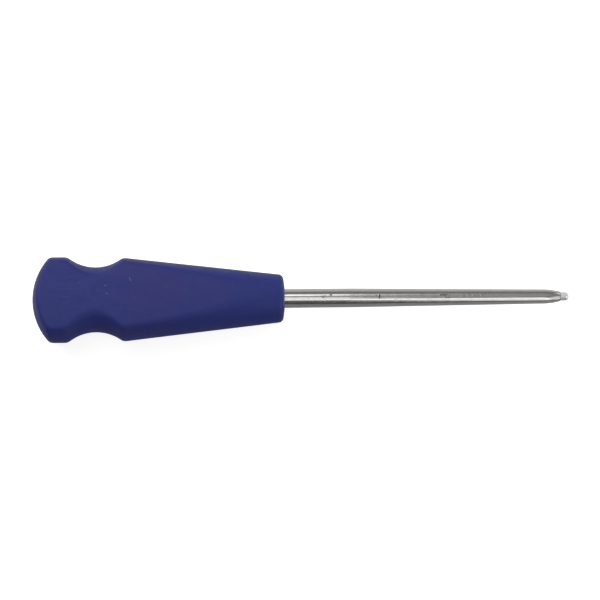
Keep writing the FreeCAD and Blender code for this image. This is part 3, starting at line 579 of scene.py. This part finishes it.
def silicone():
    k = Nodes("blue_silicone")
    x, y, z = k.xyz()
    blue, violet, deep = (0.0155, 0.0245, 0.170), (0.0215, 0.0245, 0.163), (0.0100, 0.0262, 0.176)
    cloud = k.noise((0.045, 0.07, 0.07), 3.0, 0.55, (5.0, 2.0, 9.0))
    fine = k.noise((0.5, 0.7, 0.7), 4.0, 0.6, (1.0, 7.0, 3.0))
    toward = k.spread(cloud, 0.38, 0.64)
    colour = k.mix(toward, blue, violet)
    front = k.spread(x, 78.0, 108.0)
    colour = k.mix(k.math("MULTIPLY", front, 0.55), colour, deep)
    colour = k.mix(k.math("MULTIPLY", k.spread(fine, 0.35, 0.7), 0.16), colour, (0.030, 0.040, 0.20))
    # faint rubbed streaks along the handle on its flat, behind and in the waist
    streak = k.noise((0.09, 1.9, 0.5), 5.0, 0.65, (2.0, 4.0, 1.0))
    streak = k.spread(streak, 0.56, 0.74)
    zone = k.math("MULTIPLY", k.spread(x, 8.0, 20.0), k.spread(x, 62.0, 36.0))
    zone = k.math("MULTIPLY", zone, k.spread(z, 9.0, 11.8))
    rub = k.math("MULTIPLY", streak, zone)
    colour = k.mix(k.math("MULTIPLY", rub, 0.11), colour, (0.16, 0.17, 0.26))

    # a few grains of dust and one short nick
    def grain(gx, gy, size):
        dx, dy = k.math("SUBTRACT", x, gx), k.math("SUBTRACT", y, gy)
        d = k.math("SQRT", k.math("ADD", k.math("MULTIPLY", dx, dx), k.math("MULTIPLY", dy, dy)))
        return k.math("MULTIPLY", k.spread(d, size, size * 0.35), k.spread(z, 6.0, 9.0))

    dust = None
    for gx, gy, size, level in ((34.0, 3.8, 0.42, 0.20), (34.6, 0.1, 0.46, 0.17), (30.6, 1.6, 0.36, 0.10), (26.2, 1.2, 0.4, 0.08), (47.0, -2.0, 0.3, 0.14), (22.0, 5.0, 0.3, 0.14), (62.0, 3.2, 0.3, 0.10), (17.5, -3.5, 0.3, 0.10)):
        g = k.math("MULTIPLY", grain(gx, gy, size), level * 0.7)
        dust = g if dust is None else k.math("MAXIMUM", dust, g)
    nick_d = k.math("ABSOLUTE", k.math("ADD", k.math("SUBTRACT", x, 45.1), k.math("MULTIPLY", k.math("SUBTRACT", y, 6.8), 0.35)))
    nick = k.math("MULTIPLY", k.spread(nick_d, 0.32, 0.08), k.math("MULTIPLY", k.spread(y, 5.5, 6.0), k.spread(y, 8.1, 7.5)))
    nick = k.math("MULTIPLY", k.math("MULTIPLY", nick, k.spread(z, 4.0, 6.0)), 0.09)
    dust = k.math("MAXIMUM", dust, nick)
    motes = k.node("ShaderNodeTexVoronoi", {"Vector": k.scaled((0.16, 0.16, 0.16), (4.4, 1.3, 8.2)), "Scale": 1.0})
    mote = k.math("MULTIPLY", k.spread(motes.outputs["Distance"], 0.035, 0.012), k.spread(k.noise((0.2, 0.2, 0.2), 0.0, 0.5), 0.5, 0.62))
    dust = k.math("MAXIMUM", dust, k.math("MULTIPLY", mote, 0.08))
    colour = k.mix(dust, colour, (0.62, 0.64, 0.74))

    rough = k.spread(k.noise((0.12, 0.16, 0.16), 3.0, 0.6, (9.0, 1.0, 1.0)), 0.3, 0.7, 0.50, 0.60)
    rough = k.math("ADD", rough, k.math("MULTIPLY", rub, 0.08))
    skin = k.noise((3.2, 3.2, 3.2), 3.0, 0.6)
    pores = k.noise((0.8, 0.8, 0.8), 2.0, 0.5, (3.0, 3.0, 3.0))
    n1 = k.bump(pores, 0.35, 0.00006)
    n2 = k.bump(skin, 0.45, 0.00003, n1)
    n3 = k.bump(rub, 0.3, 0.00003, n2)
    return k.shader(Base_Color=colour, Roughness=rough, IOR=1.43, Specular_IOR_Level=0.36, Normal=n3, Sheen_Weight=0.10, Sheen_Roughness=0.4, Sheen_Tint=(0.55, 0.6, 0.85))


def steel(name, base, low, high, marks=False):
    k = Nodes(name)
    x, y, z = k.xyz()
    # grinding lines run round the shaft, so they change fast along it and slowly around it
    lines = k.noise((9.0, 0.35, 0.35), 4.0, 0.7)
    lay = k.noise((1.1, 0.22, 0.22), 3.0, 0.6, (4.0, 0.0, 2.0))
    handling = k.noise((0.05, 0.3, 0.3), 3.0, 0.6, (0.0, 6.0, 1.0))
    rough = k.spread(lay, 0.3, 0.7, low, high)
    rough = k.math("ADD", rough, k.spread(handling, 0.45, 0.75, 0.0, 0.05))
    tone = k.spread(k.noise((0.6, 0.5, 0.5), 3.0, 0.6, (2.0, 2.0, 2.0)), 0.25, 0.75)
    colour = k.mix(tone, tuple(c * 0.93 for c in base), base)
    if marks:
        # small etched ticks and dots on the side that shows, of no meaning
        around = k.math("MULTIPLY", k.math("ARCTAN2", y, z), 57.2958)   # degrees from straight up, towards +Y

        def box(x0, x1, a0, a1, soft_x=0.10, soft_a=1.6):
            fx = k.math("MULTIPLY", k.spread(x, x0 - soft_x, x0 + soft_x), k.spread(x, x1 + soft_x, x1 - soft_x))
            fa = k.math("MULTIPLY", k.spread(around, a0 - soft_a, a0 + soft_a), k.spread(around, a1 + soft_a, a1 - soft_a))
            return k.math("MULTIPLY", fx, fa)

        total = None
        ticks = [(132.4, 0.80, -12, 3, 0.8), (133.6, 0.45, -8, 6, 0.6), (135.9, 0.90, 2, 12, 0.9)]
        ticks += [(152.7 + 0.75 * i, 0.40, -2, 5, 0.6) for i in range(4)] + [(156.7, 0.60, -4, 6, 0.9), (158.2, 0.65, -19, 12, 1.0)]
        ticks += [(168.7 + 1.1 * i, 0.50, -14, -7, 0.55) for i in range(3)]
        ticks += [(186.0, 0.95, -1, 8, 1.0), (187.1, 0.75, -1, 8, 1.0), (188.0, 0.85, -1, 8, 1.0), (189.5, 0.40, 0, 10, 1.0)]
        ticks += [(188.2, 0.60, -10, -1, 0.7), (188.6, 0.80, -20, -11, 0.8), (189.7, 1.00, -20, -12, 0.9)]
        ticks += [(196.8 + 1.25 * i, 0.45, -6, 0, 0.3) for i in range(8)]
        for tx, wide, a0, a1, level in ticks:
            b = k.math("MULTIPLY", box(tx, tx + wide, a0, a1), level)
            total = b if total is None else k.math("MAXIMUM", total, b)
        worn = k.spread(k.noise((1.4, 1.6, 1.6), 3.0, 0.7, (7.0, 1.0, 5.0)), 0.12, 0.32)
        etched = k.math("MULTIPLY", total, worn)
        colour = k.mix(k.math("MULTIPLY", etched, 0.94), colour, (0.03, 0.03, 0.03))
        rough = k.math("ADD", rough, k.math("MULTIPLY", etched, 0.35))
    # painted shade: the shaft's end is darkened in a narrow ring at the seam where the tip is set in
    painted_seam_shade = k.math("MULTIPLY", k.spread(x, NOSE_END - 0.95, NOSE_END - 0.35), 0.46)
    colour = k.mix(painted_seam_shade, colour, (0.09, 0.09, 0.09))
    n1 = k.bump(lines, 0.14, 0.000006)
    n2 = k.bump(handling, 0.15, 0.00012, n1)
    return k.shader(Base_Color=colour, Metallic=1.0, Roughness=rough, Normal=n2)


def tip_steel():
    k = Nodes("hardened_tip_steel")
    mottle = k.noise((1.6, 1.6, 1.6), 3.0, 0.65, (1.0, 8.0, 4.0))
    colour = k.mix(k.spread(mottle, 0.3, 0.7), (0.80, 0.80, 0.79), (0.95, 0.95, 0.935))
    x, y, z = k.xyz()
    # painted shade: the tip is darkened in a narrow ring at its root, where it goes into the shaft
    root = k.math("MULTIPLY", k.spread(x, NOSE_END + 0.65, NOSE_END + 0.15), 0.42)
    colour = k.mix(root, colour, (0.16, 0.16, 0.16))
    rough = k.spread(k.noise((2.2, 2.2, 2.2), 2.0, 0.6), 0.3, 0.7, 0.32, 0.46)
    n = k.bump(k.noise((5.0, 5.0, 5.0), 3.0, 0.6), 0.3, 0.00002)
    return k.shader(Base_Color=colour, Metallic=1.0, Roughness=rough, Normal=n)


def plain(name, a, b, rough_lo, rough_hi, metallic=0.0, grain=(0.8, 0.8, 0.8), depth=0.00003):
    k = Nodes(name)
    tone = k.noise(grain, 3.0, 0.6)
    colour = k.mix(k.spread(tone, 0.3, 0.7), a, b)
    rough = k.spread(k.noise(tuple(g * 2 for g in grain), 2.0, 0.5), 0.3, 0.7, rough_lo, rough_hi)
    n = k.bump(k.noise(tuple(g * 4 for g in grain), 3.0, 0.6), 0.3, depth)
    return k.shader(Base_Color=colour, Metallic=metallic, Roughness=rough, Normal=n)


def dress(ob, mat):
    ob.data.materials.clear()
    ob.data.materials.append(mat)


dress(grip, silicone())
dress(shaft, steel("ground_shaft_steel", (0.60, 0.59, 0.575), 0.14, 0.21, marks=True))
dress(tip, tip_steel())
inside = {
    "handle_core": plain("moulded_core_plastic", (0.045, 0.045, 0.05), (0.07, 0.07, 0.075), 0.42, 0.58),
    "rear_plug": plain("plug_plastic", (0.05, 0.05, 0.055), (0.08, 0.08, 0.085), 0.40, 0.52, grain=(1.2, 0.4, 0.4)),
    "torque_bush": plain("bush_steel", (0.48, 0.48, 0.47), (0.58, 0.57, 0.56), 0.26, 0.36, 1.0, grain=(0.2, 1.6, 1.6), depth=0.00001),
    "cross_pins": plain("pin_steel", (0.50, 0.50, 0.50), (0.60, 0.60, 0.59), 0.20, 0.30, 1.0, grain=(1.6, 1.6, 0.2), depth=0.00001),
    "tang_screw": plain("screw_steel", (0.42, 0.42, 0.42), (0.52, 0.52, 0.51), 0.24, 0.34, 1.0, grain=(2.0, 0.4, 0.4), depth=0.00001),
    "tang_washer": plain("washer_steel", (0.50, 0.50, 0.49), (0.60, 0.60, 0.58), 0.26, 0.36, 1.0, grain=(0.3, 1.2, 1.2), depth=0.00001),
    "seal_ring": plain("seal_rubber", (0.014, 0.014, 0.014), (0.022, 0.022, 0.022), 0.50, 0.64, grain=(1.5, 1.5, 1.5)),
}
for node, mat in inside.items():
    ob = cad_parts[node]
    for sl in ob.material_slots:
        sl.material = mat
    if not ob.material_slots:
        ob.data.materials.append(mat)

# ------------------------------------------------------------------------------------------------ floor, light, camera
floor_me = bpy.data.meshes.new("floor")
bm = bmesh.new()
bmesh.ops.create_grid(bm, x_segments=12, y_segments=12, size=4.0)
bmesh.ops.translate(bm, verts=bm.verts, vec=Vector((0, 0, cad_lo.z - 0.00002)))
bm.to_mesh(floor_me)
bm.free()
floor = bpy.data.objects.new("floor", floor_me)
bpy.context.scene.collection.objects.link(floor)
kf = Nodes("pale_floor")
# the sheet under the tool: a pale grey to the tool, and washed out to white in the picture, as product shots are
path = kf.node("ShaderNodeLightPath")
slow = kf.node("ShaderNodeSeparateXYZ", {0: kf.coord})
# painted light and shade on the floor: its grey, as the tool sees it, is darkest on the near side, lightest just
# behind the tool and darker again further back
tone = kf.math("ADD", kf.spread(slow.outputs[1], -0.035, 0.025, 0.36, 0.82), kf.spread(slow.outputs[1], 0.06, 0.25, 0.0, -0.18))
grey = kf.node("ShaderNodeCombineColor", {0: tone, 1: tone, 2: tone})
kf.shader(Base_Color=grey.outputs[0], Roughness=0.9, Specular_IOR_Level=0.1)
white = kf.node("ShaderNodeEmission", {"Color": (1.0, 1.0, 1.0, 1.0), "Strength": 0.80})
lit = kf.node("ShaderNodeAddShader", {0: kf.bsdf.outputs[0], 1: white.outputs[0]})
both = kf.node("ShaderNodeMixShader", {0: path.outputs["Is Camera Ray"], 1: kf.bsdf.outputs[0], 2: lit.outputs[0]})
kf.t.links.new(both.outputs[0], kf.out.inputs[0])
dress(floor, kf.mat)

world = bpy.data.worlds.new("studio")
bpy.context.scene.world = world
world.use_nodes = True
wt = world.node_tree
wt.nodes.clear()


def wnode(kind, **props):
    nd = wt.nodes.new(kind)
    for key, v in props.items():
        setattr(nd, key, v)
    return nd


w_out, w_path = wnode("ShaderNodeOutputWorld"), wnode("ShaderNodeLightPath")
w_bg, w_seen, w_mix = wnode("ShaderNodeBackground"), wnode("ShaderNodeBackground"), wnode("ShaderNodeMixShader")
w_co, w_sep, w_ramp = wnode("ShaderNodeTexCoord"), wnode("ShaderNodeSeparateXYZ"), wnode("ShaderNodeValToRGB")
w_side = wnode("ShaderNodeMapRange")
w_gain = wnode("ShaderNodeMix", data_type="RGBA", blend_type="MULTIPLY")
wt.links.new(w_co.outputs["Generated"], w_sep.inputs[0])
wt.links.new(w_sep.outputs[2], w_ramp.inputs[0])
for socket, v in (("From Min", -0.9), ("From Max", 0.9), ("To Min", 0.70), ("To Max", 1.72)):
    w_side.inputs[socket].default_value = v
wt.links.new(w_sep.outputs[1], w_side.inputs[0])
w_gain.inputs[0].default_value = 1.0
wt.links.new(w_ramp.outputs[0], w_gain.inputs[6])
wt.links.new(w_side.outputs[0], w_gain.inputs[7])
wt.links.new(w_gain.outputs[2], w_bg.inputs[0])
w_seen.inputs[0].default_value = (0.93, 0.93, 0.93, 1)
wt.links.new(w_path.outputs["Is Camera Ray"], w_mix.inputs[0])
wt.links.new(w_bg.outputs[0], w_mix.inputs[1])
wt.links.new(w_seen.outputs[0], w_mix.inputs[2])
wt.links.new(w_mix.outputs[0], w_out.inputs[0])
ramp = w_ramp.color_ramp
ramp.elements[0].position, ramp.elements[0].color = 0.0, (0.12, 0.12, 0.12, 1)
ramp.elements[1].position, ramp.elements[1].color = 1.0, (0.32, 0.32, 0.32, 1)
for pos, v in ((0.40, 0.12), (0.70, 0.16), (0.90, 0.22)):
    el = ramp.elements.new(pos)
    el.color = (v, v, v, 1)

middle = Vector((0.0, 0.0, AXIS_Z * MM))


def softbox(name, where, size, size_y, radiance, turn=0.0, tint=(1.0, 1.0, 1.0), aim=None):
    """A rectangular light of that radiance, facing the tool; turn rotates it about its own direction, in degrees."""
    data = bpy.data.lights.new(name, "AREA")
    data.shape, data.size, data.size_y = "RECTANGLE", size, size_y
    data.energy = radiance * size * size_y * math.pi
    data.color = tint
    ob = bpy.data.objects.new(name, data)
    facing = ((aim or middle) - Vector(where)).to_track_quat("-Z", "Y").to_matrix().to_4x4()
    ob.matrix_world = Matrix.Translation(where) @ facing @ Matrix.Rotation(math.radians(turn), 4, "Z")
    bpy.context.scene.collection.objects.link(ob)
    return ob


def by_elevation(beta, reach, x=0.0):
    """A place at beta degrees from the near horizon, over the top, towards the far one."""
    b = math.radians(beta)
    return (x, -reach * math.cos(b), reach * math.sin(b) + AXIS_Z * MM)


softbox("near_panel", by_elevation(69.3, 0.80, -0.036), 0.218, 0.53, 1.20, turn=20)
softbox("near_low_panel", by_elevation(38.0, 0.80, 0.215), 0.22, 0.72, 1.36)
softbox("far_panel", by_elevation(108.0, 0.80, -0.30), 0.76, 0.46, 2.05)
softbox("window_left", (-0.82, 0.71, 0.42), 0.78, 0.66, 3.30)
softbox("window_right", (0.89, 0.61, 0.42), 0.72, 0.66, 1.66)
softbox("back_wall", (0.10, 1.25, 0.20), 2.4, 0.38, 0.38)
softbox("left_fill", (-1.0, -0.10, 0.34), 0.8, 0.5, 0.19)
softbox("right_fill", (0.34, -0.19, 0.205), 0.42, 0.34, 0.85)
softbox("right_low_fill", (0.62, -0.30, 0.14), 0.5, 0.3, 1.45)

PX = 0.4571 * MM            # one pixel at the tool's axis, in metres
ELEV, ROLL = math.radians(77.0), math.radians(0.43)
back = Vector((0.0, -math.cos(ELEV), math.sin(ELEV)))
up = Vector((0.0, math.sin(ELEV), math.cos(ELEV)))
right = Vector((1.0, 0.0, 0.0))
up_r = (up * math.cos(ROLL) + right * math.sin(ROLL)).normalized()
right_r = up_r.cross(back).normalized()
cam_data = bpy.data.cameras.new("camera")
cam_data.lens, cam_data.sensor_width = 180.0, 36.0
distance = 600 * PX / (cam_data.sensor_width / cam_data.lens)
aim = Vector((-0.3 * MM, 0.0, AXIS_Z * MM)) - up * (1.70 * PX)
cam = bpy.data.objects.new("camera", cam_data)
cam.matrix_world = Matrix.Translation(aim + back * distance) @ Matrix((right_r, up_r, back)).transposed().to_4x4()
cam_data.clip_start, cam_data.clip_end = 0.01, 20.0
bpy.context.scene.collection.objects.link(cam)
bpy.context.scene.camera = cam

bpy.context.scene.view_settings.view_transform = "Standard"
bpy.context.scene.view_settings.look = "None"
